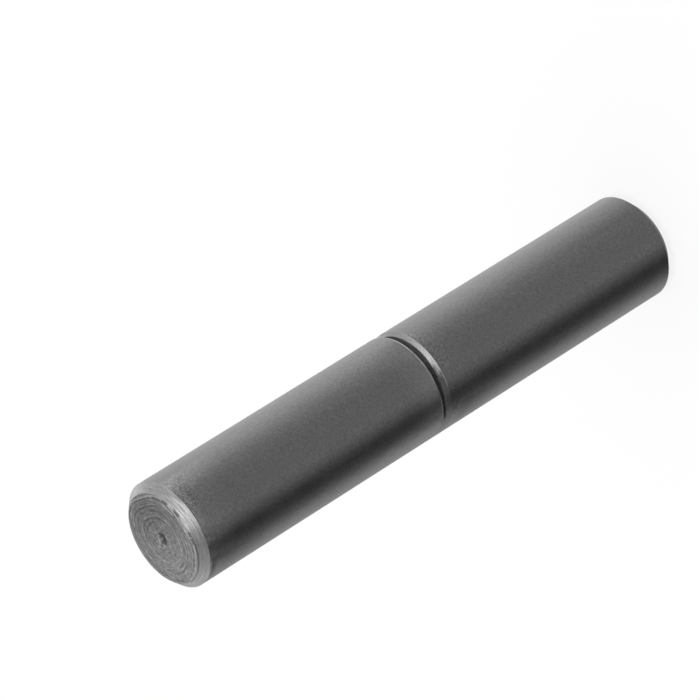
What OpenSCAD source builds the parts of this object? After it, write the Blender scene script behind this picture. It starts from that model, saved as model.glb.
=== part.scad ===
// Weld-on barrel hinge, turned from solid bar.
// The lower barrel carries a pressed-in pin, the upper barrel turns on that pin and lifts off it,
// and a ball in the pin's cup takes the weight. Millimetres, +Z along the hinge axis, standing on
// the lower barrel's end.

/* [Barrels] */
// Outside diameter of both barrels
barrel_d = 24; // [21:0.5:30]
// Length of the lower barrel
lower_l = 69.6; // [55:0.1:90]
// Length of the upper barrel
upper_l = 68.6; // [60:0.1:90]
// Open gap between the two barrels
joint_gap = 1.8; // [0.4:0.1:4]

/* [Outer ends] */
// Diameter of the flat turned face on each barrel's outer end
face_d = 17.6; // [12:0.1:18]
// Width of the shallow bevel round that face
bevel_w = 1.4; // [0.4:0.05:1.6]
// How far the shallow bevel falls back from the face
bevel_drop = 0.25; // [0.1:0.05:0.6]
// Length of the steep chamfer on the outer rim, measured along the axis
rim_chamfer_l = 1.85; // [0.8:0.05:4]
// Diameter of the dimple that the facing cut leaves in the middle
dimple_d = 2.4; // [1:0.1:4]
// Depth of that dimple
dimple_h = 0.5; // [0.2:0.1:1]

/* [Joint ends] */
// Lower barrel's 45 degree chamfer at the gap, the same both ways
joint_chamfer = 0.8; // [0.2:0.1:2]
// Broken edge on the upper barrel at the gap, the same both ways
edge_break = 0.2; // [0.1:0.05:0.8]

/* [Pin] */
// Diameter of the hinge pin
pin_d = 13; // [10:0.5:14]
// Length of pin pressed into the lower barrel
pin_seat_l = 34; // [20:0.5:45]
// Length of pin that stands out of the lower barrel
pin_reach_l = 42; // [25:0.5:48]
// Lead-in chamfer on both ends of the pin
pin_chamfer = 1.2; // [0.4:0.1:1.6]

/* [Ball] */
// Diameter of the ball that carries the upper barrel
ball_d = 10; // [7:0.5:10.5]
// Depth of the cup in the pin's top that the ball sits in
cup_h = 1.6; // [0.8:0.1:2]

/* [Bores and fits] */
// Running clearance round the pin, in radius
pin_clearance = 0.05; // [0.02:0.01:0.1]
// Clearance between the ball and each of its two seats
ball_clearance = 0.05; // [0.02:0.01:0.1]
// Point angle of the drilled bores
point_angle = 118; // [110:1:140]
// Countersink at the mouth of both bores
mouth_chamfer = 0.8; // [0.3:0.1:1.2]

/* [Hidden] */
$fn = 96;
// Overshoot of a cutting tool past the face it cuts
past = 1;

// Half the point angle, measured from the axis
point_half = point_angle / 2;

// Heights along the hinge axis
lower_top = lower_l;
upper_base = lower_top + joint_gap;
upper_top = upper_base + upper_l;
pin_base = lower_top - pin_seat_l;
pin_top = lower_top + pin_reach_l;
ball_z = pin_top - cup_h + ball_clearance + ball_d / 2;

// The seats keep the same clearance from the ball all over
seat_r = ball_d / 2 + ball_clearance;
// Tip of the upper bore, where its conical end is tangent to the seat sphere
bore_tip = ball_z + seat_r / sin(point_half);
bore_d = pin_d + 2 * pin_clearance;

// Height of a drill's conical point of diameter d
function point_h(d) = d / 2 / tan(point_half);

// Section of a barrel of length l, from its outer end at 0 to its joint end,
// whose edge there is cut off at 45 degrees, by cut both ways
function barrel_section(l, cut) = [
    [0, 0],
    [face_d / 2, 0],
    [face_d / 2 + bevel_w, bevel_drop],
    [barrel_d / 2, bevel_drop + rim_chamfer_l],
    [barrel_d / 2, l - cut],
    [barrel_d / 2 - cut, l],
    [0, l]
];

// Turned blank with its outer end at the origin, dimpled in the middle of that end
module barrel_blank(l, cut) {
    difference() {
        rotate_extrude() polygon(barrel_section(l, cut));
        // The dimple's cone, carried on past the face
        translate([0, 0, -past])
            cylinder(h = dimple_h + past, r1 = dimple_d / 2 * (1 + past / dimple_h), r2 = 0);
    }
}

// Drilled blind bore of diameter d: mouth at the origin, running up for l to its conical point
module drilled_bore(d, l) {
    translate([0, 0, -past]) cylinder(h = l + past, d = d);
    translate([0, 0, l]) cylinder(h = point_h(d), d1 = d, d2 = 0);
    // Countersunk mouth, its cone carried on past the face
    translate([0, 0, -past])
        cylinder(h = mouth_chamfer + past, r1 = d / 2 + mouth_chamfer + past, r2 = d / 2);
}

// Lower barrel, bored from its joint end for the pressed pin
module lower_barrel() {
    color([0.36, 0.36, 0.37]) difference() {
        barrel_blank(lower_l, joint_chamfer);
        translate([0, 0, lower_top]) mirror([0, 0, 1]) drilled_bore(pin_d, pin_seat_l);
    }
}

// Section of the pin: a plain shank, chamfered at both ends
function pin_section() = [
    [0, pin_base],
    [pin_d / 2 - pin_chamfer, pin_base],
    [pin_d / 2, pin_base + pin_chamfer],
    [pin_d / 2, pin_top - pin_chamfer],
    [pin_d / 2 - pin_chamfer, pin_top],
    [0, pin_top]
];

// Hinge pin with the ball's cup in its top
module hinge_pin() {
    color([0.62, 0.62, 0.64]) difference() {
        rotate_extrude() polygon(pin_section());
        translate([0, 0, ball_z]) sphere(r = seat_r);
    }
}

// Ball between the pin's cup and the conical end of the upper bore
module thrust_ball() {
    color([0.78, 0.78, 0.80]) translate([0, 0, ball_z]) sphere(d = ball_d);
}

// Upper barrel, bored from its joint end to run on the pin and rest on the ball
module upper_barrel() {
    color([0.36, 0.36, 0.37]) difference() {
        translate([0, 0, upper_top]) mirror([0, 0, 1]) barrel_blank(upper_l, edge_break);
        translate([0, 0, upper_base])
            drilled_bore(bore_d, bore_tip - point_h(bore_d) - upper_base);
    }
}

lower_barrel();
hinge_pin();
thrust_ball();
upper_barrel();
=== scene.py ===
"""Looks of a weld-on barrel hinge: two turned steel barrels, the pin between them and its thrust ball.

Lengths are in millimetres in the part's own frame, with +Z along the hinge axis, and become metres where
a mesh, a lamp or the camera is made. Angles are in degrees; a bearing is 0 towards -Y and 90 towards +X.
"""

import logging
import math
from dataclasses import dataclass
from enum import Enum
from typing import Sequence

import bpy
import numpy as np
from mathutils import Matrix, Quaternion, Vector


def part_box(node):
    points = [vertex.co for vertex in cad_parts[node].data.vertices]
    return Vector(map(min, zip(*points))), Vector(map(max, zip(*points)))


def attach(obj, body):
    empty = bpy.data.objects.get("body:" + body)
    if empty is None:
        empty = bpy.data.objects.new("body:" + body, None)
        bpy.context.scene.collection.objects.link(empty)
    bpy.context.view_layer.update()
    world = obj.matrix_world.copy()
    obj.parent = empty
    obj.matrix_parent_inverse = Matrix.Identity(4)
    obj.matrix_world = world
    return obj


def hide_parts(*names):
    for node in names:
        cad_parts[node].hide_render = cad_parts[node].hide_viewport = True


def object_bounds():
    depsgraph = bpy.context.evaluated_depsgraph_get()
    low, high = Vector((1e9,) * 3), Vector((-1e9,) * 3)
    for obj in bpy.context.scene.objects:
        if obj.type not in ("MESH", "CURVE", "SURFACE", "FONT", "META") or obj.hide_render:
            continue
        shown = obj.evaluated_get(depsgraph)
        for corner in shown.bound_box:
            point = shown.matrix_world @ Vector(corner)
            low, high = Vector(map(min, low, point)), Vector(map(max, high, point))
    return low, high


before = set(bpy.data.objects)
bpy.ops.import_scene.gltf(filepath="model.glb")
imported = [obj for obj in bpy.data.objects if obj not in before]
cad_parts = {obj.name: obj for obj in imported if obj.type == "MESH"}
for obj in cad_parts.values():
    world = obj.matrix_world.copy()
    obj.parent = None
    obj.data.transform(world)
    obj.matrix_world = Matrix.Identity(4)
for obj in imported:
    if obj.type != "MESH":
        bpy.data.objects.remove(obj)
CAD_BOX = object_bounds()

LOG = logging.getLogger("barrel_hinge")
MM = 0.001  # a millimetre, in metres
CORNER = 0.05  # width of the narrow band on each side of a section's corner, which keeps the corner crisp
CLEARANCE = 0.05  # round the pin in the upper barrel's bore, and round the ball
WHITE = (1.0, 1.0, 1.0, 1.0)

Grid = np.ndarray  # rows of numbers, mostly one for each ring and each bearing of a turned surface
Span = tuple[float, float]  # where something starts and where it ends
Pairs = tuple[tuple[float, float], ...]  # such as bearings, each with the tone there


def toward(bearing: float, elevation: float) -> Vector:
    """Unit vector of a direction.

    Args:
        bearing: its angle round the hinge axis.
        elevation: its angle above the floor.

    Returns:
        The vector, in the part's frame.
    """
    around = math.radians(bearing)
    up = math.radians(elevation)
    return Vector((math.sin(around) * math.cos(up), -math.cos(around) * math.cos(up), math.sin(up)))


def spans(node: str) -> tuple[float, float, float]:
    """Size of a round CAD node, in millimetres.

    Args:
        node: the CAD node's name.

    Returns:
        The radius about the hinge axis, the bottom height and the top height.
    """
    low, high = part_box(node)
    return (high.x - low.x) / 2 / MM, low.z / MM, high.z / MM


class Skin(Enum):
    """Which finish a stretch of a turned section has, as its place in the piece's list of materials."""

    MAIN = 0
    CUT = 1
    BORED = 2


class Value:
    """A shader socket that holds a number, with the usual operators, each of which adds a Math node."""

    def __init__(self, tree: "Tree", socket: bpy.types.NodeSocket) -> None:
        """Keeps the socket and the node tree that it is in."""
        self.tree = tree
        self.socket = socket

    def __add__(self, other: "Value | float") -> "Value":
        """Sum."""
        return self.tree.maths("ADD", self, other)

    def __radd__(self, other: float) -> "Value":
        """Sum with the number first."""
        return self.tree.maths("ADD", other, self)

    def __sub__(self, other: "Value | float") -> "Value":
        """Difference."""
        return self.tree.maths("SUBTRACT", self, other)

    def __rsub__(self, other: float) -> "Value":
        """Difference with the number first."""
        return self.tree.maths("SUBTRACT", other, self)

    def __mul__(self, other: "Value | float") -> "Value":
        """Product."""
        return self.tree.maths("MULTIPLY", self, other)

    def __rmul__(self, other: float) -> "Value":
        """Product with the number first."""
        return self.tree.maths("MULTIPLY", other, self)

    def __truediv__(self, other: "Value | float") -> "Value":
        """Quotient."""
        return self.tree.maths("DIVIDE", self, other)

    def root(self) -> "Value":
        """Square root."""
        return self.tree.maths("SQRT", self)

    def rise(self, start: float, end: float) -> "Value":
        """Smooth step.

        Args:
            start: where it is still 0, which may be the larger of the two.
            end: where it has come to 1.

        Returns:
            The step's value.
        """
        settings = {"interpolation_type": "SMOOTHSTEP"}
        low, high = min(start, end), max(start, end)
        bottom, top = (0.0, 1.0) if start < end else (1.0, 0.0)
        inputs = {"Value": self, "From Min": low, "From Max": high, "To Min": bottom, "To Max": top}
        node = self.tree.add("ShaderNodeMapRange", settings, inputs)
        return Value(self.tree, node.outputs["Result"])


class Tree:
    """The node tree of a material or a world, emptied and then filled by these methods."""

    def __init__(self, owner: bpy.types.Material | bpy.types.World) -> None:
        """Turns nodes on and clears what is there.

        Args:
            owner: the material or world that the nodes belong to.
        """
        owner.use_nodes = True
        self.tree = owner.node_tree
        self.tree.nodes.clear()

    def add(self, kind: str, settings: dict | None = None, inputs: dict | None = None) -> bpy.types.Node:
        """Adds one node.

        Args:
            kind: the node's type.
            settings: its properties, set first; "stops" are a colour ramp's (place, grey) pairs.
            inputs: a number, a tuple, a Value or a socket for each named or numbered input.

        Returns:
            The new node.
        """
        node = self.tree.nodes.new(kind)
        for name, setting in (settings or {}).items():
            if name == "stops":
                self.set_stops(node.color_ramp, setting)
            else:
                setattr(node, name, setting)
        for name, given in (inputs or {}).items():
            source = given.socket if isinstance(given, Value) else given
            if isinstance(source, bpy.types.NodeSocket):
                self.tree.links.new(source, node.inputs[name])
            else:
                node.inputs[name].default_value = source
        return node

    @staticmethod
    def set_stops(ramp: bpy.types.ColorRamp, stops: Sequence[tuple[float, float]]) -> None:
        """Gives a colour ramp its stops, eased from one to the next.

        Args:
            ramp: the ramp, with Blender's two first stops in it.
            stops: (place, grey) pairs in rising order of place.
        """
        ramp.interpolation = "EASE"
        while len(ramp.elements) < len(stops):
            ramp.elements.new(1.0)
        for element, (place, grey) in zip(ramp.elements, stops):
            element.position = place
            element.color = (grey, grey, grey, 1.0)

    def maths(self, operation: str, *terms: "Value | float") -> Value:
        """Adds a Math node on one, two or three terms."""
        node = self.add("ShaderNodeMath", {"operation": operation}, dict(enumerate(terms)))
        return Value(self, node.outputs[0])

    def place(self) -> tuple[Value, Value, Value]:
        """The point that is shaded.

        Returns:
            Its X, Y and Z in the part's frame, in millimetres.
        """
        coordinates = self.add("ShaderNodeTexCoord").outputs["Object"]
        split = self.add("ShaderNodeSeparateXYZ", {}, {"Vector": coordinates})
        x, y, z = (Value(self, split.outputs[axis]) / MM for axis in "XYZ")
        return x, y, z

    def seen(self) -> Value:
        """1 where the camera looks straight at the surface, and 0 in all other light."""
        return Value(self, self.add("ShaderNodeLightPath").outputs["Is Camera Ray"])

    def noise(self, at: Sequence[Value], detail: float = 2.0, roughness: float = 0.5) -> Value:
        """Noise about 0, one cell to a unit of the place given.

        Args:
            at: the place's three numbers.
            detail: how many finer layers are added.
            roughness: how strong the finer layers are.

        Returns:
            A value from -0.5 to 0.5.
        """
        vector = self.add("ShaderNodeCombineXYZ", {}, dict(zip("XYZ", at)))
        inputs = {"Vector": vector.outputs["Vector"], "Scale": 1.0, "Detail": detail, "Roughness": roughness}
        node = self.add("ShaderNodeTexNoise", {}, inputs)
        return Value(self, node.outputs["Fac"]) - 0.5

    def attribute(self, name: str) -> Value:
        """A value that the mesh gives."""
        return Value(self, self.add("ShaderNodeAttribute", {"attribute_name": name}).outputs["Fac"])

    def bump(self, height: Value, depth: float = 1.0) -> bpy.types.NodeSocket:
        """Normal of a relief whose height runs over a depth in millimetres."""
        node = self.add("ShaderNodeBump", {}, {"Strength": 1.0, "Distance": depth * MM, "Height": height})
        return node.outputs["Normal"]

    def shade(self, inputs: dict) -> None:
        """Adds the metal shader with these inputs, and the material's output."""
        shader = self.add("ShaderNodeBsdfPrincipled", {}, {"Metallic": 1.0, **inputs})
        self.add("ShaderNodeOutputMaterial", {}, {"Surface": shader.outputs["BSDF"]})


@dataclass(frozen=True)
class Mottle:
    """Noise in a finish.

    Attributes:
        size: width of a cell.
        tone: how much it lightens and darkens the steel.
        height: how high its relief is.
        detail: how many finer layers are added.
        roughness: how strong the finer layers are.
        squash: how many times finer it is along the hinge axis.
    """

    size: float
    tone: float = 0.0
    height: float = 0.0
    detail: float = 2.0
    roughness: float = 0.5
    squash: float = 1.0

    def over(self, tree: Tree, place: Sequence[Value]) -> Value:
        """The noise at a point.

        Args:
            tree: the node tree that it goes into.
            place: the point's X, Y and Z, in millimetres.

        Returns:
            A value from -0.5 to 0.5.
        """
        x, y, z = place
        at = (x / self.size, y / self.size, z * (self.squash / self.size))
        return tree.noise(at, self.detail, self.roughness)


@dataclass(frozen=True)
class WornBand:
    """Part of the drawn skin beside a turned edge, where the tool and handling have broken it up, lighter or
    darker partly from wear and partly as painted light and shade.

    Attributes:
        width: how far it reaches from the edge.
        sector: the bearings between which it lies.
        broken: how speckled it is, 1 for the most.
        wear_and_shade: how much lighter it is, partly from wear and partly as painted light and shade; below
            0 it is darker.
        lip: how much darker the line along the edge itself is.
    """

    width: float
    sector: Span
    broken: float = 0.0
    wear_and_shade: float = 0.0
    lip: float = 0.0


@dataclass(frozen=True)
class WornEdge:
    """A turned edge of the drawn skin.

    Attributes:
        z: its height.
        way: 1 if the skin lies above it and -1 if it lies below.
        bands: the worn bands beside it, which add up where they overlap.
    """

    z: float
    way: int
    bands: tuple[WornBand, ...]


@dataclass(frozen=True)
class DrawnSkin:
    """Dark skin of the bar as drawn: satin, finely mottled, and broken up in bands by the turned edges, which
    are also lighter or darker partly as painted light and shade.

    Attributes:
        name: the material's name.
        edges: the turned edges.
        tone: its grey.
        roughness: how dull it is.
        dulling: how much duller the cloud makes it.
        cloud: broad drift.
        grain: fine mottle.
        speck: the speckle of the broken bands.
        blotch: their coarser relief.
        lip_w: width of the dark line along an edge.
        soft: how many degrees the end of a band takes to fade.
        straggle: how many degrees its end strays.
    """

    name: str
    edges: tuple[WornEdge, ...]
    tone: float = 0.17
    roughness: float = 0.31
    dulling: float = 0.08
    cloud: Mottle = Mottle(4.0, tone=0.08, height=0.06)
    grain: Mottle = Mottle(0.6, tone=0.76, height=0.018, squash=1.5)
    speck: Mottle = Mottle(0.42, tone=1.6, height=0.08, detail=1.0)
    blotch: Mottle = Mottle(1.4, height=0.12, detail=1.0)
    lip_w: float = 0.35
    soft: float = 10.0
    straggle: float = 16.0

    def build(self) -> bpy.types.Material:
        """Makes the material.

        Returns:
            A metal whose tone and relief drift by noise, more strongly and more finely in the worn bands.
        """
        material = bpy.data.materials.new(self.name)
        tree = Tree(material)
        place = tree.place()
        x, y, z = place
        bearing = tree.maths("ARCTAN2", x, 0 - y) * math.degrees(1)
        mottles = (self.cloud, self.grain, self.speck, self.blotch)
        cloud, grain, speck, blotch = (mottle.over(tree, place) for mottle in mottles)
        ragged = bearing + self.straggle * blotch
        broken: Value | float = 0.0
        wear_and_shading: Value | float = 1.0
        for edge in self.edges:
            off = (z - edge.z) * edge.way
            inside = off.rise(-CORNER, 0.0)
            lip = inside * off.rise(self.lip_w, 0.0)
            for band in edge.bands:
                start, end = band.sector
                across = ragged.rise(start, start + self.soft) * ragged.rise(end, end - self.soft)
                beside = across * inside * off.rise(band.width, 0.0)
                broken = broken + band.broken * beside
                # lighter and darker bands: partly wear, partly painted light and shade
                wear_and_shading = wear_and_shading + band.wear_and_shade * beside - band.lip * across * lip
        drift = self.cloud.tone * cloud + self.grain.tone * grain + self.speck.tone * broken * speck
        height = self.cloud.height * cloud + self.grain.height * grain
        height = height + broken * (self.speck.height * speck + self.blotch.height * blotch)
        tree.shade({
            "Base Color": self.tone * (1 + drift) * wear_and_shading,
            "Roughness": self.roughness + self.dulling * cloud,
            "Normal": tree.bump(height),
        })
        return material


@dataclass(frozen=True)
class TurnedSteel:
    """Bright steel as the cutting tool leaves it, streaked round the axis, and skin where it missed.

    The mesh gives two values: Barrel.TONE multiplies both tones and holds painted shade and highlights as
    well as the marks, and Barrel.SKIN is 1 where the tool missed.

    Attributes:
        name: the material's name.
        tone: grey of the cut steel.
        roughness: how dull it is.
        skin_tone: grey of the skin.
        skin_roughness: how dull that is.
        streak: how much the streaks lighten and darken the steel.
        streak_dulling: how much duller they make it.
        streak_pitch: distance from one to the next.
        streak_arc: how many degrees they run round the axis.
        lean: how much a step along the axis counts against one across it in that distance.
        torn: torn grain, of the skin too.
        relief: depth of the streaks and the grain.
    """

    name: str
    tone: float = 0.50
    roughness: float = 0.30
    skin_tone: float = 0.16
    skin_roughness: float = 0.34
    streak: float = 0.85
    streak_dulling: float = 0.15
    streak_pitch: float = 0.28
    streak_arc: float = 16.0
    lean: float = 0.6
    torn: Mottle = Mottle(0.34, tone=0.80, detail=3.0, roughness=0.6)
    relief: float = 0.009

    def build(self) -> bpy.types.Material:
        """Makes the material.

        Returns:
            A metal streaked by noise that is long round the axis and short along the section.
        """
        material = bpy.data.materials.new(self.name)
        tree = Tree(material)
        place = tree.place()
        x, y, z = place
        radius = (x * x + y * y).root() + CORNER  # never 0, so that the shares of it below are finite
        turns = math.degrees(1) / self.streak_arc
        along = (radius - self.lean * z) / self.streak_pitch
        streak = tree.noise((x / radius * turns, y / radius * turns, along))
        torn = self.torn.over(tree, place)
        skin = tree.attribute(Barrel.SKIN)
        bright = self.tone * (1 + self.streak * streak + self.torn.tone * torn)
        dark = self.skin_tone * (1 + self.torn.tone * torn)
        duller = self.streak_dulling * streak + (self.skin_roughness - self.roughness) * skin
        tree.shade({
            "Base Color": (bright * (1 - skin) + dark * skin) * tree.attribute(Barrel.TONE),
            "Roughness": self.roughness + duller,
            "Normal": tree.bump(streak + torn, self.relief),
        })
        return material


@dataclass(frozen=True)
class GroundSteel:
    """Ground or polished steel of the pin and the ball: smooth, with hair lines round the axis.

    Attributes:
        name: the material's name.
        tone: its grey.
        roughness: how dull it is.
        hair: how much the hair lines change that.
        hair_depth: their depth at the most.
        hairs: the hair lines, far finer along the axis than round it.
        film: drift of a thin film.
        dulling: how much the film changes the roughness.
    """

    name: str
    tone: float
    roughness: float
    hair: float
    hair_depth: float = 0.002
    hairs: Mottle = Mottle(3.0, squash=54.0)
    film: Mottle = Mottle(4.0, tone=0.10)
    dulling: float = 0.3

    def build(self) -> bpy.types.Material:
        """Makes the material.

        Returns:
            A metal with a thin film's drift in its tone and hair lines in its roughness.
        """
        material = bpy.data.materials.new(self.name)
        tree = Tree(material)
        place = tree.place()
        film = self.film.over(tree, place)
        hairs = self.hairs.over(tree, place)
        tree.shade({
            "Base Color": self.tone * (1 + self.film.tone * film),
            "Roughness": self.roughness * (1 + self.dulling * film + self.hair * hairs),
            "Normal": tree.bump(hairs, self.hair_depth * self.hair),
        })
        return material


@dataclass(frozen=True)
class Straight:
    """A straight stretch of a turned section, from the end of the stretch before it.

    Attributes:
        radius: distance from the axis at its end.
        depth: distance from the outer end at its end.
        rings: how many rings it is cut into.
        skin: its finish.
        corner_share: the most of its length that the narrow band at a corner takes.
        corner_clear: how many such bands lie between the corner and the next of the even rings.
    """

    radius: float
    depth: float
    rings: int
    skin: Skin = Skin.MAIN
    corner_share: float = 0.2
    corner_clear: float = 1.5

    def trace(self, start: Span) -> Grid:
        """Points along the line, evenly spaced, with one close to each corner to keep it crisp.

        Args:
            start: radius and depth of the stretch's start.

        Returns:
            Rows of radius and depth, without the start itself.
        """
        first = np.array(start)
        last = np.array((self.radius, self.depth))
        share = np.linspace(0, 1, self.rings + 1)
        near = min(CORNER / np.linalg.norm(last - first), self.corner_share)
        clear = self.corner_clear * near
        inner = share[(share > clear) & (share < 1 - clear)]
        share = np.concatenate(((near,), inner, (1 - near, 1.0)))
        return first + share[:, None] * (last - first)


@dataclass(frozen=True)
class Arc:
    """A round stretch of a turned section, about a centre on the axis.

    Attributes:
        centre: the centre's depth.
        radius: the arc's own radius.
        start: angle at its start, 0 towards the axis on the shallow side and 180 on the deep side.
        end: angle at its end.
        rings: how many rings it is cut into.
        skin: its finish.
    """

    centre: float
    radius: float
    start: float
    end: float
    rings: int
    skin: Skin = Skin.MAIN

    def trace(self, start: Span) -> Grid:
        """Points along the arc: radius times the sine, and the centre less radius times the cosine.

        Args:
            start: radius and depth of the stretch's start, where the arc begins.

        Returns:
            Rows of radius and depth, without the start itself.
        """
        angle = np.radians(np.linspace(self.start, self.end, self.rings + 1)[1:])
        points = np.stack((self.radius * np.sin(angle), self.centre - self.radius * np.cos(angle)), axis=1)
        points[:, 0] = np.maximum(points[:, 0], 0)
        return points


Stretch = Straight | Arc


@dataclass(frozen=True)
class Places:
    """Places on a turned surface, one for each ring and each bearing.

    Attributes:
        radius: distance from the hinge axis.
        depth: distance from the piece's outer end.
        bearing: angle round the axis.
    """

    radius: Grid
    depth: Grid
    bearing: Grid

    @property
    def x(self) -> Grid:
        """X of each place."""
        return self.radius * np.sin(np.radians(self.bearing))

    @property
    def y(self) -> Grid:
        """Y of each place."""
        return -self.radius * np.cos(np.radians(self.bearing))

    @property
    def nothing(self) -> Grid:
        """0 at each place."""
        return np.zeros(np.broadcast(self.radius, self.depth, self.bearing).shape)


@dataclass
class Turning:
    """A solid of revolution on the hinge axis, from a section that starts and ends on the axis.

    Attributes:
        name: the piece's name.
        body: the body that it rides on.
        nodes: the CAD nodes that it replaces.
        slot: its material slot's name; not used.
        outer_z: height of its outer end.
        way: 1 if the piece lies above that end and -1 if it lies below.
        segments: how many bearings each ring has.
    """

    name: str
    body: str
    nodes: tuple[str, ...]
    slot: str
    outer_z: float
    way: int
    segments: int = 360

    def start(self) -> Span:
        """Radius and depth of the section's first point, on the axis."""
        return 0.0, 0.0

    def section(self) -> list[Stretch]:
        """The section's stretches in order, ending on the axis. Each kind of piece gives its own."""
        raise NotImplementedError

    def relief(self, at: Places) -> Grid:
        """How far the surface stands out from the plain section, in millimetres: nothing, if plain."""
        return at.nothing

    def shift(self, at: Places) -> tuple[Grid, Grid]:
        """How far the surface is moved outwards and deeper, in millimetres: nothing, if plain."""
        return at.nothing, at.nothing

    def marks(self, at: Places) -> dict[str, Grid]:
        """Values for the finishes to read, by name: none, if plain."""
        return {}

    def height(self, depth: Grid | float) -> Grid | float:
        """Height above the floor at a depth."""
        return self.outer_z + self.way * depth

    def build(self, finishes: Sequence[bpy.types.Material]) -> bpy.types.Object:
        """Makes the piece, in place, riding on its body.

        The section is turned: X is the radius times the bearing's sine, and Y is minus the radius times its
        cosine. The relief moves each place square to the section, and the shift outwards and deeper.

        Args:
            finishes: the materials in the order of Skin.

        Returns:
            The piece's object.
        """
        points, skins = self.stations()
        angle = np.linspace(0, 2 * np.pi, self.segments, endpoint=False)[None, :]
        bearing = np.degrees((angle + np.pi) % (2 * np.pi) - np.pi)
        at = Places(points[1:-1, 0, None], points[1:-1, 1, None], bearing)
        travel = np.gradient(points, axis=0)[1:-1]
        travel /= np.linalg.norm(travel, axis=1, keepdims=True)
        out = self.relief(at)
        push, sink = self.shift(at)
        radius = at.radius + out * travel[:, 1, None] + push
        z = self.height(at.depth - out * travel[:, 0, None] + sink)
        rings = np.stack((radius * np.sin(angle), -radius * np.cos(angle), z), axis=2).reshape(-1, 3)
        poles = np.array([(0, 0, self.height(depth)) for depth in (points[0, 1], points[-1, 1])])
        vertices = np.concatenate((poles[:1], rings, poles[1:])) * MM
        piece = self.to_object(vertices, len(points) - 2, skins, finishes)
        for name, values in self.marks(at).items():
            flat = np.broadcast_to(values, (len(at.radius), self.segments)).ravel()
            flat = np.concatenate((flat[:1], flat, flat[-1:])).astype(np.float32)
            piece.data.attributes.new(name, "FLOAT", "POINT").data.foreach_set("value", flat)
        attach(piece, self.body)
        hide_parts(*self.nodes)
        return piece

    def stations(self) -> tuple[Grid, Grid]:
        """Walks the section.

        Returns:
            Rows of radius and depth from pole to pole, and the skin of each gap between two rows.
        """
        points = [np.array([self.start()])]
        skins: list[int] = []
        for stretch in self.section():
            traced = stretch.trace(tuple(points[-1][-1]))
            points.append(traced)
            skins += [stretch.skin.value] * len(traced)
        return np.concatenate(points), np.array(skins)

    def to_object(
        self, vertices: Grid, rings: int, skins: Grid, finishes: Sequence[bpy.types.Material]
    ) -> bpy.types.Object:
        """Joins the rings by quads and closes both poles by fans.

        Args:
            vertices: the first pole, the rings one after another, and the last pole, in metres.
            rings: how many rings there are.
            skins: the skin of each band from one row of the section to the next.
            finishes: the materials in the order of Skin.

        Returns:
            The new object, smooth shaded, at the origin.
        """
        count = self.segments
        here = np.arange(count)
        following = np.roll(here, -1)
        row = 1 + count * np.arange(rings - 1)[:, None]
        quads = np.stack((row + here, row + following, row + count + following, row + count + here), axis=2)
        last = 1 + count * (rings - 1)
        first_fan = np.stack((np.zeros(count, int), 1 + following, 1 + here), axis=1)
        last_fan = np.stack((last + here, last + following, np.full(count, last + count)), axis=1)
        if self.way < 0:
            quads, first_fan, last_fan = quads[:, :, ::-1], first_fan[:, ::-1], last_fan[:, ::-1]
        corners = np.concatenate((first_fan.ravel(), quads.ravel(), last_fan.ravel()))
        sides = np.concatenate((np.full(count, 3), np.full(quads.shape[0] * count, 4), np.full(count, 3)))
        mesh = bpy.data.meshes.new(self.name)
        mesh.vertices.add(len(vertices))
        mesh.vertices.foreach_set("co", vertices.astype(np.float32).ravel())
        mesh.loops.add(len(corners))
        mesh.loops.foreach_set("vertex_index", corners.astype(np.int32))
        mesh.polygons.add(len(sides))
        mesh.polygons.foreach_set("loop_start", (np.cumsum(sides) - sides).astype(np.int32))
        mesh.polygons.foreach_set("material_index", np.repeat(skins, count).astype(np.int32))
        for finish in finishes:
            mesh.materials.append(finish)
        mesh.update(calc_edges=True)
        mesh.validate()
        mesh.shade_smooth()
        piece = bpy.data.objects.new(self.name, mesh)
        bpy.context.scene.collection.objects.link(piece)
        return piece


def smooth(value: Grid, start: float, end: float) -> Grid:
    """Smooth step from 0 at start to 1 at end, where start may be the larger of the two."""
    share = np.clip((value - start) / (end - start), 0, 1)
    return share * share * (3 - 2 * share)


def sector(bearing: Grid, start: float, end: float, soft: float = 8.0) -> Grid:
    """Part of a turn.

    Args:
        bearing: the bearings.
        start: where the part starts.
        end: where it ends, which may lie past 180 degrees.
        soft: how many degrees it takes to fade, outside it.

    Returns:
        1 between its start and its end, and 0 outside them.
    """
    half = (end - start) / 2
    off = np.abs((bearing - start - half + 180) % 360 - 180)
    return smooth(off, half + soft, half)


def within(radius: Grid, edge: float, fade: Span = (0.2, -0.1)) -> Grid:
    """1 inside a circle about the axis and 0 outside it, fading over a narrow ring at its edge."""
    return smooth(radius, edge + fade[0], edge + fade[1])


def on_circle(radius: Grid, centre: float, fade: Span) -> Grid:
    """1 on a circle about the axis and 0 away from it, fading from the second distance to the first."""
    return smooth(np.abs(radius - centre), *fade)


@dataclass(frozen=True)
class Ripple:
    """Smooth random relief: a sum of cosine waves in random directions.

    Attributes:
        size: the waves' mean length.
        share: about how strong the relief is.
        salt: sets this relief apart from the others of the same seed.
        waves: how many waves are summed.
        lengths: the shortest and the longest wave against the mean one.
    """

    size: float
    share: float
    salt: int
    waves: int = 18
    lengths: Span = (0.7, 1.4)

    def over(self, x: Grid, y: Grid, seed: int) -> Grid:
        """The relief: cosines of the distance along random headings, summed.

        The sum is divided by the root of half the number of waves, so that it is about 1 before the share.

        Args:
            x: first coordinate of each place.
            y: second coordinate of each place.
            seed: picks the directions and phases.

        Returns:
            The relief at each place.
        """
        draw = np.random.default_rng(seed + self.salt)
        total = np.zeros(np.broadcast(x, y).shape)
        for _ in range(self.waves):
            heading, phase = draw.uniform(0, 2 * np.pi, 2)
            number = 2 * np.pi / (self.size * draw.uniform(*self.lengths))
            total += np.cos(number * (x * np.cos(heading) + y * np.sin(heading)) + phase)
        return self.share * total / math.sqrt(self.waves / 2)


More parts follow.
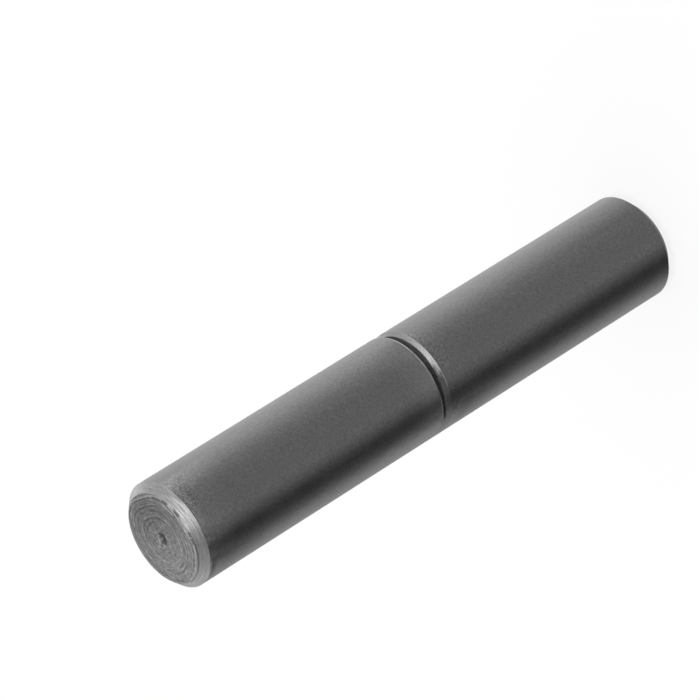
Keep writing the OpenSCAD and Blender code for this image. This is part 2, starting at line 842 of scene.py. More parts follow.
@dataclass(frozen=True)
class PaintedPipShade:
    """Painted shade in the dimple in the middle of a faced end, most of all on one side, with a painted
    highlight on the lip on the other.

    Attributes:
        span: the bearings of the dark side.
        soft: how many degrees that takes to fade.
        dark: how dark the painted shade is.
        even: the share of the dark that goes all the way round.
        edge: radii over which the dark fades.
        bare: radii over which the other side's wall comes clear of it.
        light: how light the painted highlight on the lip is.
        lip: radii over which the lip comes in.
        lip_end: radii over which it fades, the outer one first.
    """

    span: Span = (-85.0, 78.0)
    soft: float = 22.0
    dark: float = 0.78
    even: float = 0.35
    edge: Span = (1.70, 1.25)
    bare: Span = (0.6, 1.1)
    light: float = 0.18
    lip: Span = (0.9, 1.3)
    lip_end: Span = (1.9, 1.5)

    def tone(self, at: Places) -> Grid:
        """Painted shade of the dimple and painted highlight on its lip.

        Args:
            at: the places.

        Returns:
            The tone, 1 away from the dimple.
        """
        near = sector(at.bearing, *self.span, soft=self.soft)
        far = sector(at.bearing, *(end + 180 for end in self.span), soft=self.soft)
        pip_shade = (self.even + (1 - self.even) * near) * smooth(at.radius, *self.edge)
        pip_shade = pip_shade * (1 - smooth(at.radius, *self.bare) * far)
        lip = far * smooth(at.radius, *self.lip) * smooth(at.radius, *self.lip_end)
        # painted shade in the dimple, and painted highlight on its lip
        return 1 - self.dark * pip_shade + self.light * lip


@dataclass(frozen=True)
class RimMarks:
    """Marks by the bevel's outer edge: two lines and some nicks, and painted glints, tone streaks on the lit
    part of the chamfer.

    Attributes:
        line_span: the bearings between which the lines run.
        light: how light the inner line is.
        light_off: how far it lies from the edge.
        light_w: distances from it at which it has faded and at which it is full.
        dark: how dark the outer line is.
        dark_off: how far it lies from the edge.
        dark_w: its distances.
        nicks: bearing of each nick and half the degrees that it spans.
        nick_skin: how much of the skin is left in a nick.
        nick_off: how far the nicks lie from the edge.
        nick_w: their distances.
        nick_soft: how many degrees their ends take to fade.
        ragged: how ragged they are.
        glint_span: the bearings of the chamfer's lit part, between which the painted glints lie.
        glint_soft: how many degrees that takes to fade.
        glint_run: how far the streaks' pattern moves on in a radian, less for longer streaks.
        glints: the tone streaks of the painted glints.
    """

    line_span: Span = (-85.0, -28.0)
    light: float = 0.26
    light_off: float = -0.18
    light_w: Span = (0.20, 0.06)
    dark: float = 0.45
    dark_off: float = 0.14
    dark_w: Span = (0.18, 0.05)
    nicks: Pairs = ((36.5, 3.5), (15.5, 4.0), (-12.0, 2.2), (-22.0, 3.0))
    nick_skin: float = 0.85
    nick_off: float = -0.15
    nick_w: Span = (0.34, 0.14)
    nick_soft: float = 2.5
    ragged: Ripple = Ripple(0.7, 0.09, 5)
    glint_span: Span = (-2.0, 32.0)
    glint_soft: float = 12.0
    glint_run: float = 1.056
    glints: Ripple = Ripple(0.42, 0.16, 9, waves=60)

    def lines(self, at: Places, edge: float) -> Grid:
        """The two lines.

        Args:
            at: the places.
            edge: the edge's radius.

        Returns:
            What the lines add to the tone.
        """
        light = self.light * on_circle(at.radius, edge + self.light_off, self.light_w)
        dark = self.dark * on_circle(at.radius, edge + self.dark_off, self.dark_w)
        return (light - dark) * sector(at.bearing, *self.line_span)

    def nicked(self, at: Places, edge: float, seed: int) -> Grid:
        """The nicks, in which the tool left the skin.

        Args:
            at: the places.
            edge: the edge's radius.
            seed: picks how they are ragged.

        Returns:
            The share of the skin that is left, 0 away from the nicks.
        """
        strayed = at.radius + self.ragged.over(at.x, at.y, seed)
        across = self.nick_skin * on_circle(strayed, edge + self.nick_off, self.nick_w)
        along = [sector(at.bearing, b - half, b + half, self.nick_soft) for b, half in self.nicks]
        return across * np.max(along, axis=0)

    def glinting(self, at: Places, seed: int) -> Grid:
        """Painted glints: tone streaks along the lit part of the chamfer, long round the axis.

        Args:
            at: the places.
            seed: picks their pattern.

        Returns:
            What they add to the tone.
        """
        # painted highlight: tone streaks only where the chamfer is lit
        streaks = self.glints.over(self.glint_run * np.radians(at.bearing), at.radius, seed)
        return streaks * sector(at.bearing, *self.glint_span, soft=self.glint_soft)


@dataclass(frozen=True)
class FacingCut:
    """What the facing tool leaves on a barrel's outer end: uneven rings round a torn middle, with painted
    shade and highlights in its tone.

    Attributes:
        seed: picks this end's own pattern.
        radius: radius of the flat face.
        rings: distance from ring to ring and weight of each wave that the rings add up from.
        wander: how far the rings stray from true circles.
        jitter: how ragged they are.
        patches: where they are stronger and weaker.
        strength: how strong they are on the whole.
        strengths: how weak and how strong they get.
        lively: how much stronger they are on one side and weaker on the other.
        lively_bearing: the bearing of the side where they are strongest.
        height: height of the rings.
        sunk: how many heights their mean lies under the plain face.
        line: how much they lighten and darken the steel.
        line_span: heights of the wave between which that comes in.
        middle: radii over which the torn middle fades in, from the outside.
        middle_rings: how strong the rings stay there.
        middle_fade: radii over which they come back.
        torn: rough relief of the middle.
        torn_outside: how strong that is outside it.
        torn_height: its height against that of the rings.
        torn_tone: how much it lightens and darkens the steel.
        blotches: broader blotches of the tone.
        blotch_outside: how strong they are outside the middle.
        patina: tone of the flat face against that of the bevel.
        shade: how much darker the face is on one side and lighter on the other, as painted shade.
        painted_shade_bearing: the bearing of its lightest side.
        painted_shade_r: radius at which the painted shade comes in to the full.
        painted_bevel_shading: start, end and added tone of each part of the bevel that differs, a painted
            highlight on the lit side and painted shade where the dark band falls.
        pip_shade: painted shade in the dimple in the middle, with a painted highlight on its lip.
        rim: the marks by the bevel's outer edge, with the painted glints on its chamfer.
    """

    seed: int
    radius: float
    rings: Pairs = ((0.60, 0.28), (0.87, 0.50), (1.35, 0.26), (2.5, 0.22))
    wander: Ripple = Ripple(12.0, 0.16, 0)
    jitter: Ripple = Ripple(1.9, 0.032, 1, waves=40)
    patches: tuple[Ripple, ...] = (Ripple(4.0, 0.30, 2), Ripple(1.5, 0.24, 8, waves=40))
    strength: float = 0.85
    strengths: Span = (0.1, 1.6)
    lively: float = 0.22
    lively_bearing: float = 90.0
    height: float = 0.05
    sunk: float = 0.8
    line: float = 0.432
    line_span: Span = (0.15, 0.9)
    middle: Span = (4.6, 2.0)
    middle_rings: float = 0.30
    middle_fade: Span = (2.52, 4.32)
    torn: Ripple = Ripple(0.8, 1.0, 3, waves=40)
    torn_outside: float = 0.30
    torn_height: float = 0.5
    torn_tone: float = 0.154
    blotches: tuple[Ripple, ...] = (Ripple(1.7, 0.105, 4, waves=40), Ripple(3.5, 0.070, 6))
    blotch_outside: float = 0.5
    patina: float = 0.88
    shade: float = 0.22
    painted_shade_bearing: float = -100.0
    painted_shade_r: float = 5.0
    painted_bevel_shading: tuple[tuple[float, float, float], ...] = ((2.0, 38.0, 0.14), (-50.0, -28.0, -0.13))
    pip_shade: PaintedPipShade = PaintedPipShade()
    rim: RimMarks = RimMarks()

    def summed(self, ripples: Sequence[Ripple], at: Places) -> Grid:
        """Sum of some ripples over the face."""
        return sum(ripple.over(at.x, at.y, self.seed) for ripple in ripples)

    def in_middle(self, at: Places, outside: float) -> Grid:
        """1 in the torn middle, and the share given outside it."""
        return outside + (1 - outside) * smooth(at.radius, *self.middle)

    def wave(self, at: Places) -> Grid:
        """The rings' wave: cosines of the radius, whose place strays, summed by weight.

        Its strength is uneven in patches, differs from side to side, and is low in the torn middle.

        Args:
            at: the places.

        Returns:
            The wave, about -1 to 1.
        """
        turns = 2 * np.pi * (at.radius + self.summed((self.wander, self.jitter), at))
        ring = sum(weight * np.cos(turns / pitch + self.seed) for pitch, weight in self.rings)
        side = self.lively * np.cos(np.radians(at.bearing - self.lively_bearing))
        strength = np.clip(self.strength + self.summed(self.patches, at) + side, *self.strengths)
        outside = smooth(at.radius, *self.middle_fade)
        return ring * strength * (self.middle_rings + (1 - self.middle_rings) * outside)

    def roughness(self, at: Places) -> Grid:
        """The torn middle's rough relief, about -1 to 1, faint towards the rim."""
        return self.summed((self.torn,), at) * self.in_middle(at, self.torn_outside)

    def relief(self, at: Places) -> Grid:
        """Height of the cut surface under the plain face, in millimetres, never above it."""
        wave = self.wave(at) + self.torn_height * self.roughness(at)
        return np.minimum(self.height * (wave / 2 - self.sunk), 0)

    def tone(self, at: Places) -> Grid:
        """Tone of the face: dark grooves, light crests and blotches, with painted shade in the dimple and a
        painted highlight on its lip, one side lighter and the other darker as painted shade, and painted
        highlight and shade on the bevel.

        Args:
            at: the places.

        Returns:
            The tone, about 1.
        """
        wave = self.wave(at)
        lines = self.line * (smooth(wave, *self.line_span) - smooth(-wave, *self.line_span))
        blotch = self.summed(self.blotches, at) * self.in_middle(at, self.blotch_outside)
        cut = 1 + lines + self.torn_tone * self.roughness(at) + blotch
        # painted shade: the face darker on one side and lighter on the other, as the light falls
        side = np.cos(np.radians(at.bearing - self.painted_shade_bearing)) * np.minimum(at.radius / self.painted_shade_r, 1)
        flat = within(at.radius, self.radius)
        face = 1 + flat * (self.patina * (1 + self.shade * side) - 1)
        # painted highlight on the lit part of the bevel and painted shade on its dark part
        bevel = sum(more * sector(at.bearing, start, end) for start, end, more in self.painted_bevel_shading)
        return cut * face * self.pip_shade.tone(at) * (1 + (1 - flat) * bevel)


@dataclass(frozen=True)
class ObliqueEnd:
    """A joint end cut slightly off square, so that one side stands nearer to the gap, with a burr there.

    Attributes:
        bearing: the side that stands nearest.
        reach: how far it stands out, along the axis.
        fill: the share of the edge's chamfer that is left uncut there.
        burr: how much further the burr stands out.
        burr_span: the bearings between which it lies, and fills the edge to the full.
        burr_soft: how many degrees its ends take to fade.
        turn: cosines of the angle from the nearest side, over which the end comes to stand out.
        slant: how much further the skin is left at the edge's inner side than at its outer one.
        skin: how far the end stands out, as a share, where the skin begins and where it is whole.
    """

    bearing: float
    reach: float
    fill: float
    burr: float
    burr_span: Span = (-118.0, -59.0)
    burr_soft: float = 12.0
    turn: Span = (-0.2, 0.9)
    slant: float = 0.42
    skin: Span = (0.31, 0.62)

    def amount(self, bearing: Grid) -> Grid:
        """1 on the near side and 0 on the far one: a smooth step of the cosine of the angle between them."""
        return smooth(np.cos(np.radians(bearing - self.bearing)), *self.turn)

    def closed(self, bearing: Grid) -> Grid:
        """1 along the burr and 0 away from it."""
        return sector(bearing, *self.burr_span, soft=self.burr_soft)

    def stand(self, bearing: Grid) -> Grid:
        """How far the end stands out, along the axis."""
        return self.reach * self.amount(bearing) + self.burr * self.closed(bearing)

    def uncut(self, bearing: Grid) -> Grid:
        """The share of the edge's chamfer that is left uncut."""
        return np.maximum(self.fill * self.amount(bearing), self.closed(bearing))

    def skinned(self, bearing: Grid, inward: Grid, ragged: Grid) -> Grid:
        """1 where the edge keeps its skin, given how far inward the place is, 0 to 1, and how ragged."""
        return smooth(self.amount(bearing) + self.slant * (inward - 0.5) + ragged, *self.skin)


@dataclass
class Barrel(Turning):
    """One barrel of the hinge: turned outer end, drawn side, joint end and drilled blind bore.

    Attributes:
        length: its length.
        radius: its outer radius.
        edge: width of the chamfer at the joint.
        bore_r: the bore's radius.
        bore_l: the bore's length, without its point.
        facing: what the tool leaves on the outer end, with the painted shade and highlights on it.
        oblique: how the joint end stands out on one side, where its edge is filled and keeps its skin.
        painted_edge_shading: bearings and tones of the joint edge where it is cut, a painted highlight on its
            lit side and painted shade on the rest.
        skin_tones: bearings and tones of its skin where it isn't.
        worn_w: width of the strip beside that edge that is worn bright, 0 for none.
        worn_drop: how far the strip falls away.
        rim_missed: the bearings between which the tool missed the rim's chamfer, if it did.
        missed_soft: how many degrees that takes to fade.
        missed_straggle: how many degrees its ends stray for each unit of raggedness.
        ragged: how ragged the border of the skin is at both ends.
        ragged_scale: how much of a step round the barrel and of one along it counts in that.
        rim_bands: worn bands of skin beside the rim's chamfer, lighter or darker partly from wear and partly
            as painted light and shade.
        joint_bands: worn bands of skin beside the joint edge, lighter or darker partly from wear and partly
            as painted light and shade.
        bevel_w: width of the bevel round the face.
        bevel_drop: how far the bevel falls away.
        rim_chamfer_l: length of the rim's chamfer.
        dimple_r: radius of the dimple.
        dimple_h: its depth.
        dimple_rim: width of the ring round it over which the facing cut's relief comes in.
        mouth_chamfer: width of the bore's countersink.
        point_angle: angle of the bore's drilled point.
    """

    TONE = "turned_tone"
    SKIN = "missed_by_the_tool"

    length: float = 0.0
    radius: float = 0.0
    edge: float = 0.0
    bore_r: float = 0.0
    bore_l: float = 0.0
    facing: FacingCut | None = None
    oblique: ObliqueEnd | None = None
    painted_edge_shading: Pairs = ((0.0, 1.0),)
    skin_tones: Pairs = ((0.0, 1.0),)
    worn_w: float = 0.0
    worn_drop: float = 0.03
    rim_missed: Span | None = None
    missed_soft: float = 12.0
    missed_straggle: float = 60.0
    ragged: Ripple = Ripple(1.5, 0.09, 7)
    ragged_scale: Span = (0.6, 4.0)
    rim_bands: tuple[WornBand, ...] = ()
    joint_bands: tuple[WornBand, ...] = ()
    bevel_w: float = 1.4
    bevel_drop: float = 0.25
    rim_chamfer_l: float = 1.85
    dimple_r: float = 1.2
    dimple_h: float = 0.5
    dimple_rim: float = 0.4
    mouth_chamfer: float = 0.8
    point_angle: float = 118.0

    @property
    def bevel_r(self) -> float:
        """Radius of the bevel's outer edge."""
        return self.facing.radius + self.bevel_w

    @property
    def rim_end(self) -> float:
        """Depth at which the rim's chamfer ends and the side begins."""
        return self.bevel_drop + self.rim_chamfer_l

    @property
    def joint_r(self) -> float:
        """Outer radius of the joint face."""
        return self.radius - self.edge

    @property
    def mouth_r(self) -> float:
        """Inner radius of the joint face, where the bore's countersink begins."""
        return self.bore_r + self.mouth_chamfer

    def start(self) -> Span:
        """Bottom of the dimple."""
        return 0.0, self.dimple_h

    def section(self) -> list[Stretch]:
        """The barrel's own section.

        Returns:
            Dimple, face, bevel, rim chamfer, side, worn strip, joint edge and face, countersink, bore, point.
        """
        point_h = self.bore_r / math.tan(math.radians(self.point_angle / 2))
        worn = [Straight(self.radius - self.worn_drop, self.length - self.edge, 4, Skin.CUT)]
        return [
            Straight(self.dimple_r, 0.0, 10, Skin.CUT),
            Straight(self.facing.radius, 0.0, 104, Skin.CUT),
            Straight(self.bevel_r, self.bevel_drop, 20, Skin.CUT),
            Straight(self.radius, self.rim_end, 28, Skin.CUT),
            Straight(self.radius, self.length - self.edge - self.worn_w, 30, Skin.MAIN),
            *(worn if self.worn_w else []),
            Straight(self.joint_r, self.length, 14, Skin.CUT),
            Straight(self.mouth_r, self.length, 8, Skin.BORED),
            Straight(self.bore_r, self.length - self.mouth_chamfer, 3, Skin.BORED),
            Straight(self.bore_r, self.length - self.bore_l, 8, Skin.BORED),
            Straight(0.0, self.length - self.bore_l - point_h, 3, Skin.BORED),
        ]

    def worn_edges(self) -> tuple[WornEdge, WornEdge]:
        """The two turned edges of the drawn side.

        Returns:
            The edge by the outer end and the one at the joint, with the worn bands beside them.
        """
        rim = WornEdge(self.height(self.rim_end), self.way, self.rim_bands)
        joint = WornEdge(self.height(self.length - self.edge), -self.way, self.joint_bands)
        return rim, joint

    def inward(self, at: Places) -> Grid:
        """How far across the joint edge a place is: 0 up to its outer side, and 1 from its inner side."""
        return np.clip((at.depth - self.length + self.edge) / self.edge, 0, 1)

    def relief(self, at: Places) -> Grid:
        """The facing cut's relief on the outer face, fading out in the dimple and over the bevel.

        Args:
            at: the places.

        Returns:
            How far the surface stands out, in millimetres.
        """
        on_face = smooth(at.depth, self.bevel_drop * 2, self.bevel_drop)
        on_face = on_face * smooth(at.radius, self.dimple_r, self.dimple_r + self.dimple_rim)
        on_face = on_face * smooth(at.radius, self.bevel_r, self.facing.radius)
        return self.facing.relief(at) * on_face

    def shift(self, at: Places) -> tuple[Grid, Grid]:
        """Moves the joint end out where it is oblique, and fills the joint edge's chamfer there.

        Each is a share by the bearing times a length: what the chamfer takes off, and how far the end stands
        out across the edge.

        Args:
            at: the places.

        Returns:
            How far each place is moved outwards and how far deeper, in millimetres.
        """
        at_joint = smooth(at.radius, self.mouth_r, self.joint_r) * (at.depth > self.length / 2)
        lacking = np.clip(self.radius - at.radius, 0, self.edge) * at_joint
        return self.oblique.uncut(at.bearing) * lacking, self.oblique.stand(at.bearing) * self.inward(at)

    def marks(self, at: Places) -> dict[str, Grid]:
        """The tones of both ends, with their painted shade and highlights, and where the tools missed.

        The outer end has its nicks and the missed rim, and the joint edge the side where it keeps its skin.

        Args:
            at: the places.

        Returns:
            The tone about 1, and the share of the skin that is left, by the names that the finish reads.
        """
        outer = smooth(at.depth, self.length / 2, self.length / 3)  # 1 at the outer end, 0 at the joint
        on_face = within(at.radius, self.bevel_r)
        rim = self.facing.rim
        face = on_face * (self.facing.tone(at) - 1) + rim.lines(at, self.bevel_r)
        face = face + (1 - on_face) * rim.glinting(at, self.facing.seed)
        around, along = self.ragged_scale
        arc = np.radians(at.bearing) * self.radius
        ragged = self.ragged.over(around * arc, along * at.depth, self.facing.seed)
        uncut = self.oblique.skinned(at.bearing, self.inward(at), ragged)
        uncut = uncut * smooth(at.radius, self.joint_r - CORNER, self.joint_r)
        # painted highlight on the lit side of the joint edge and painted shade on the rest, by bearing
        edge_shading, skin_tone = (
            np.interp(at.bearing, *zip(*tones), period=360) for tones in (self.painted_edge_shading, self.skin_tones)
        )
        missed = rim.nicked(at, self.bevel_r, self.facing.seed)
        if self.rim_missed:
            strayed = at.bearing + self.missed_straggle * ragged
            on_rim = (1 - on_face) * sector(strayed, *self.rim_missed, soft=self.missed_soft)
            missed = np.maximum(missed, on_rim)
        joint = edge_shading * (1 - uncut) + skin_tone * uncut
        tone = 1 + face * outer + (joint - 1) * (1 - outer)
        skin = np.clip(missed * outer + uncut * (1 - outer), 0, 1)
        return {self.TONE: tone, self.SKIN: skin}


@dataclass
class HingePin(Turning):
    """The pin: a ground shank with a lead-in at both ends and the ball's cup in its top.

    Attributes:
        length: its length.
        radius: its radius.
        lead: length and width of each lead-in.
        cup_r: radius of the cup.
        cup_centre: distance of the cup's centre from the pin's foot.
    """

    length: float = 0.0
    radius: float = 0.0
    lead: float = 1.2
    cup_r: float = 0.0
    cup_centre: float = 0.0

    def section(self) -> list[Stretch]:
        """The pin's own section.

        Returns:
            Foot, lead-in, shank, lead-in, rim and cup.
        """
        mouth = math.acos((self.cup_centre - self.length) / self.cup_r)
        return [
            Straight(self.radius - self.lead, 0.0, 6),
            Straight(self.radius, self.lead, 4),
            Straight(self.radius, self.length - self.lead, 60),
            Straight(self.radius - self.lead, self.length, 4),
            Straight(self.cup_r * math.sin(mouth), self.length, 4),
            Arc(self.cup_centre, self.cup_r, math.degrees(mouth), 0.0, 20),
        ]


@dataclass
class ThrustBall(Turning):
    """The ball between the pin's cup and the end of the upper bore.

    Attributes:
        radius: its radius.
    """

    radius: float = 0.0

    def section(self) -> list[Stretch]:
        """Half a circle from pole to pole."""
        return [Arc(self.radius, self.radius, 0.0, 180.0, 72)]


@dataclass(frozen=True)
class Softbox:
    """A square area lamp that faces the object.

    Attributes:
        name: the lamp's name.
        bearing: where it stands, in degrees.
        elevation: how high it stands, in degrees.
        distance: how far it stands from the middle of the object.
        side: its side.
        power: its power in watts.
        mirrored: whether the steel shows its reflection.
    """

    name: str
    bearing: float
    elevation: float
    distance: float
    side: float
    power: float
    mirrored: bool = True

    def build(self, centre: Vector) -> None:
        """Makes the lamp.

        Args:
            centre: the object's middle, which it is turned to, in metres.
        """
        lamp = bpy.data.lights.new(self.name, "AREA")
        lamp.size = self.side * MM
        lamp.energy = self.power
        box = bpy.data.objects.new(self.name, lamp)
        box.visible_glossy = self.mirrored
        away = toward(self.bearing, self.elevation)
        box.location = centre + away * self.distance * MM
        box.rotation_euler = away.to_track_quat("Z", "Y").to_euler()
        bpy.context.scene.collection.objects.link(box)


@dataclass(frozen=True)
class Studio:
    """Pale floor, soft lamps and the white tent round them, with its darker opening.

    Attributes:
        floor_side: the floor's side.
        floor_tone: its grey, as the light that falls on it sees it.
        floor_glow: the share of plain white in what the camera sees of it near the object.
        glow_radii: distances from the object over which that rises to the whole.
        low_wall: bearings and brightness of the tent's wall low down.
        high_wall: the same, high up.
        low_to_high: sines of the elevation over which the one becomes the other.
        brightest: brightness that a ramp's white stands for.
        lamps: the lamps.
    """

    floor_side: float = 6000.0
    floor_tone: float = 0.90
    floor_glow: float = 0.85
    glow_radii: Span = (110.0, 300.0)
    low_wall: Pairs = (
        (-180.0, 0.42), (-150.0, 0.68), (-120.0, 0.77), (-100.0, 0.38), (-85.0, 0.17), (-65.0, 0.08),
        (-45.0, 0.40), (-30.0, 0.66), (0.0, 0.60), (35.0, 0.61), (60.0, 0.77), (80.0, 1.12),
        (105.0, 1.51), (130.0, 1.32), (155.0, 1.00), (180.0, 0.42),
    )
    high_wall: Pairs = (
        (-180.0, 0.39), (-130.0, 0.57), (-90.0, 0.40), (-55.0, 0.30), (-25.0, 0.47), (5.0, 1.35),
        (35.0, 1.10), (65.0, 0.82), (100.0, 0.57), (140.0, 0.20), (180.0, 0.39),
    )
    low_to_high: Span = (-0.2, 0.6)
    brightest: float = 2.0
    lamps: tuple[Softbox, ...] = (
        Softbox("back_softbox", 180.0, 62.0, 900.0, 427.0, 0.22),
        Softbox("floor_softbox", 180.0, 85.0, 1200.0, 1000.0, 10.0, mirrored=False),
    )

    def build(self) -> None:
        """Sets up the view transform, the floor, the lamps and the world."""
        bpy.context.scene.view_settings.view_transform = "Standard"
        low, high = CAD_BOX
        for lamp in self.lamps:
            lamp.build((low + high) / 2)
        self.build_floor()
        self.build_tent()

    def build_floor(self) -> None:
        """A pale diffuse floor, which the camera sees near white with its shadow, and all white far away."""
        half = self.floor_side / 2 * MM
        corners = [(-half, -half, 0.0), (half, -half, 0.0), (half, half, 0.0), (-half, half, 0.0)]
        mesh = bpy.data.meshes.new("floor")
        mesh.from_pydata(corners, [], [(0, 1, 2, 3)])
        floor = bpy.data.objects.new("floor", mesh)
        floor.visible_glossy = False
        bpy.context.scene.collection.objects.link(floor)
        material = bpy.data.materials.new("pale_floor")
        tree = Tree(material)
        tone = self.floor_tone
        card = tree.add("ShaderNodeBsdfDiffuse", {}, {"Color": (tone, tone, tone, 1.0)})
        glow = tree.add("ShaderNodeEmission", {}, {"Strength": 1.0})
        x, y, _ = tree.place()
        far = (x * x + y * y).root().rise(*self.glow_radii)
        share = self.floor_glow + (1 - self.floor_glow) * far
        inputs = {0: tree.seen() * share, 1: card.outputs["BSDF"], 2: glow.outputs["Emission"]}
        mixed = tree.add("ShaderNodeMixShader", {}, inputs)
        tree.add("ShaderNodeOutputMaterial", {}, {"Surface": mixed.outputs["Shader"]})
        mesh.materials.append(material)

    def build_tent(self) -> None:
        """The world: white to the camera, and to the object a tent whose wall varies with the bearing.

        The bearing is the angle whose tangent is X over -Y. One ramp gives the wall low down, another high
        up, and a smooth step over the elevation's sine goes from the one to the other.
        """
        world = bpy.data.worlds.new("tent")
        bpy.context.scene.world = world
        tree = Tree(world)
        sight = tree.add("ShaderNodeTexCoord").outputs["Generated"]
        split = tree.add("ShaderNodeSeparateXYZ", {}, {"Vector": sight})
        x, y, z = (Value(tree, split.outputs[axis]) for axis in "XYZ")
        turn = tree.maths("ARCTAN2", x, 0 - y) / (2 * math.pi) + 0.5
        low, high = (self.ramp(tree, turn, wall) for wall in (self.low_wall, self.high_wall))
        rise = z.rise(*self.low_to_high)
        wall = low * (1 - rise) + high * rise
        seen = tree.seen()
        inputs = {"Color": WHITE, "Strength": wall * (1 - seen) + seen}
        background = tree.add("ShaderNodeBackground", {}, inputs)
        tree.add("ShaderNodeOutputWorld", {}, {"Surface": background.outputs["Background"]})

    def ramp(self, tree: Tree, turn: Value, wall: Pairs) -> Value:
        """Brightness of the tent's wall by its bearing.

        Args:
            tree: the world's node tree.
            turn: the bearing as a share of a turn, 0 at -180 degrees and 1 at 180.
            wall: (bearing, brightness) pairs.

        Returns:
            The wall's brightness.
        """
        stops = [(bearing / 360 + 0.5, level / self.brightest) for bearing, level in wall]
        node = tree.add("ShaderNodeValToRGB", {"stops": stops}, {"Fac": turn})
        return Value(tree, node.outputs["Color"]) * self.brightest


@dataclass(frozen=True)
class PhotoCamera:
    """The camera, placed as the photograph's was.

    Attributes:
        lens: focal length, in true millimetres, for a sensor of this side.
        sensor: the sensor's side.
        nearest: how near to it things are still seen.
        back: how far it stands from the hinge axis, on bearing 0.
        height: how high it stands above the lower barrel's end.
        aim_x: X of the point that it looks at, in the plane Y = 0.
        aim_z: Z of that point.
        roll: how far it is turned about its own line of sight.
    """

    lens: float = 248.0
    sensor: float = 36.0
    nearest: float = 10.0
    back: float = 838.8
    height: float = 629.7
    aim_x: float = 12.6
    aim_z: float = 77.4
    roll: float = 121.6

    def build(self) -> None:
        """Makes the camera and gives it to the scene."""
        data = bpy.data.cameras.new("camera")
        data.lens = self.lens
        data.sensor_width = self.sensor
        data.clip_start = self.nearest * MM
        camera = bpy.data.objects.new("camera", data)
        camera.location = Vector((0.0, -self.back, self.height)) * MM
        sight = Vector((self.aim_x, 0.0, self.aim_z)) * MM - camera.location
        camera.rotation_mode = "QUATERNION"
        roll = Quaternion((0.0, 0.0, 1.0), -math.radians(self.roll))
        camera.rotation_quaternion = sight.to_track_quat("-Z", "Y") @ roll
        bpy.context.scene.collection.objects.link(camera)
        bpy.context.scene.camera = camera


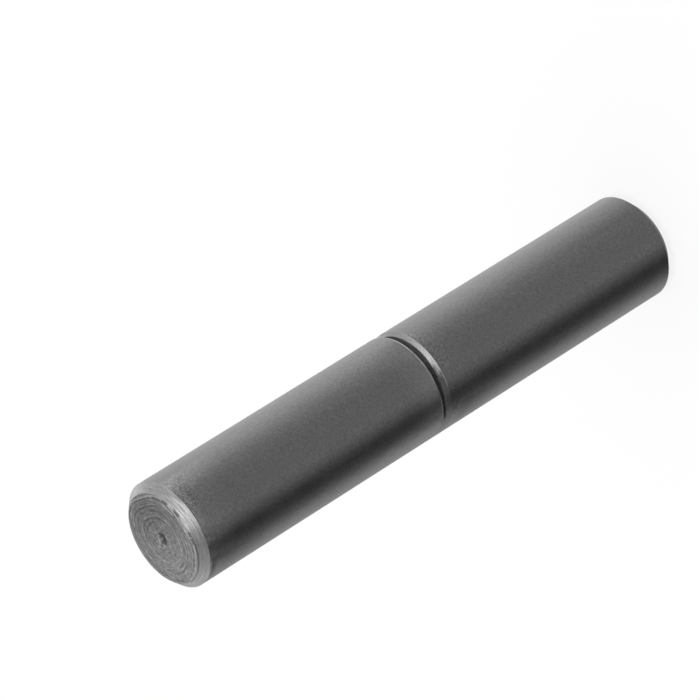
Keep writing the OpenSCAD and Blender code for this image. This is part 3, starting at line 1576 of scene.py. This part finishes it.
def make_barrels(pin_r: float, pin_base: float, ball_r: float, ball_z: float) -> tuple[Barrel, Barrel]:
    """The two barrels, sized by their CAD nodes and by what they hold, with the marks of a used hinge and
    painted light and shade.

    Args:
        pin_r: the pin's radius.
        pin_base: height of its foot, where the lower bore ends.
        ball_r: the ball's radius.
        ball_z: height of its centre, which the upper bore's point fits round.

    Returns:
        The upper and the lower barrel.
    """
    upper_r, upper_base, upper_top = spans("upper_barrel")
    lower_r, lower_base, lower_top = spans("lower_barrel")
    face_r = 8.8
    nearest = -75.0
    upper = Barrel(
        "upper_barrel_turned", "upper", ("upper_barrel",), "barrel_steel", upper_top, -1,
        length=upper_top - upper_base, radius=upper_r, edge=0.2, bore_r=pin_r + CLEARANCE,
        facing=FacingCut(seed=11, radius=face_r),
        oblique=ObliqueEnd(nearest, reach=0.25, fill=0.0, burr=0.32), worn_w=0.22,
        # joint edge: painted highlight on the lit side, painted shade on the rest
        painted_edge_shading=((-30.0, 0.4), (0.0, 0.72), (12.0, 1.0), (35.0, 0.84), (52.0, 0.66), (66.0, 0.5)),
        skin_tones=((-60.0, 1.0), (-45.0, 1.1), (-30.0, 1.6), (-18.0, 1.25), (-5.0, 1.0)),
        rim_bands=(
            WornBand(11.0, (0.0, 56.0), broken=1.0),
            WornBand(18.0, (22.0, 60.0), wear_and_shade=0.28),
            WornBand(2.8, (-48.0, 32.0), wear_and_shade=0.38),
            WornBand(12.0, (-50.0, 28.0), wear_and_shade=0.18),
            WornBand(8.0, (-50.0, -20.0), wear_and_shade=0.40),
            WornBand(3.0, (-34.0, 36.0), broken=0.2, lip=0.75),
            WornBand(3.0, (-32.0, -8.0), wear_and_shade=-0.30),
            WornBand(3.6, (32.0, 49.0), wear_and_shade=0.30),
            WornBand(2.4, (-78.0, -46.0), wear_and_shade=-0.9),
            WornBand(0.9, (-80.0, -40.0), wear_and_shade=1.3),
            WornBand(20.0, (-86.0, -44.0), wear_and_shade=-0.30),
            WornBand(7.0, (-86.0, -44.0), wear_and_shade=0.34),
        ),
        joint_bands=(
            WornBand(8.5, (-52.0, 36.0), wear_and_shade=0.24),
            WornBand(9.0, (-54.0, -18.0), wear_and_shade=0.24),
            WornBand(9.0, (36.0, 56.0), wear_and_shade=-0.16),
            WornBand(45.0, (-76.0, -44.0), wear_and_shade=0.16),
        ),
    )
    half_point = math.radians(upper.point_angle / 2)
    bore_tip = ball_z + (ball_r + CLEARANCE) / math.sin(half_point)
    upper.bore_l = bore_tip - upper.bore_r / math.tan(half_point) - upper_base
    lower = Barrel(
        "lower_barrel_turned", "lower", ("lower_barrel",), "barrel_steel", lower_base, 1,
        length=lower_top - lower_base, radius=lower_r, edge=0.8, bore_r=pin_r, bore_l=lower_top - pin_base,
        facing=FacingCut(seed=47, radius=face_r),
        oblique=ObliqueEnd(nearest, reach=0.8, fill=1.0, burr=0.41), rim_missed=(-95.0, 95.0),
        # joint edge: painted highlight on the lit side, painted shade on the rest
        painted_edge_shading=(
            (-10.0, 0.75), (2.0, 0.8), (12.0, 1.0), (45.0, 1.0), (62.0, 0.82), (85.0, 0.75), (120.0, 1.0),
        ),
        skin_tones=((-60.0, 1.0), (-46.0, 1.35), (-32.0, 1.4), (-22.0, 0.9), (-14.0, 0.72), (-6.0, 1.0)),
        rim_bands=(
            WornBand(8.0, (100.0, 170.0), broken=0.8, lip=0.3),
            # painted shade: the lit side grows darker towards the far end
            WornBand(50.0, (22.0, 68.0), wear_and_shade=-0.16),
        ),
        joint_bands=(
            WornBand(8.0, (-8.0, 52.0), broken=0.9, wear_and_shade=0.10, lip=0.35),
            WornBand(6.0, (-76.0, -18.0), broken=0.5),
            WornBand(20.0, (-86.0, -44.0), wear_and_shade=-0.42),
            WornBand(4.5, (-86.0, -44.0), wear_and_shade=0.40),
        ),
    )
    return upper, lower


def main() -> None:
    """Builds the studio, the camera, the finishes and the four pieces, and reports each piece."""
    logging.basicConfig(level=logging.INFO, format="%(name)s: %(message)s")
    Studio().build()
    PhotoCamera().build()
    pin_r, pin_base, pin_top = spans("hinge_pin")
    ball_r, ball_base, ball_top = spans("thrust_ball")
    ball_z = (ball_base + ball_top) / 2
    upper, lower = make_barrels(pin_r, pin_base, ball_r, ball_z)
    pin = HingePin(
        "hinge_pin_ground", "lower", ("hinge_pin",), "pin_steel", pin_base, 1, segments=192,
        length=pin_top - pin_base, radius=pin_r, cup_r=ball_r + CLEARANCE, cup_centre=ball_z - pin_base,
    )
    ball = ThrustBall(
        "thrust_ball_polished", "ball", ("thrust_ball",), "ball_steel", ball_base, 1, segments=144,
        radius=ball_r,
    )
    skin = DrawnSkin("drawn_skin", upper.worn_edges() + lower.worn_edges()).build()
    turned = TurnedSteel("turned_steel").build()
    bored = TurnedSteel("bored_steel", tone=0.48, roughness=0.60, streak=0.2).build()
    ground = GroundSteel("ground_pin", tone=0.55, roughness=0.24, hair=0.8).build()
    polished = GroundSteel("polished_ball", tone=0.70, roughness=0.10, hair=0.2).build()
    on_barrels = (skin, turned, bored)
    for piece, finishes in ((upper, on_barrels), (lower, on_barrels), (pin, (ground,)), (ball, (polished,))):
        made = piece.build(finishes)
        LOG.info("%s: %d faces", made.name, len(made.data.polygons))


if __name__ == "__main__":
    main()
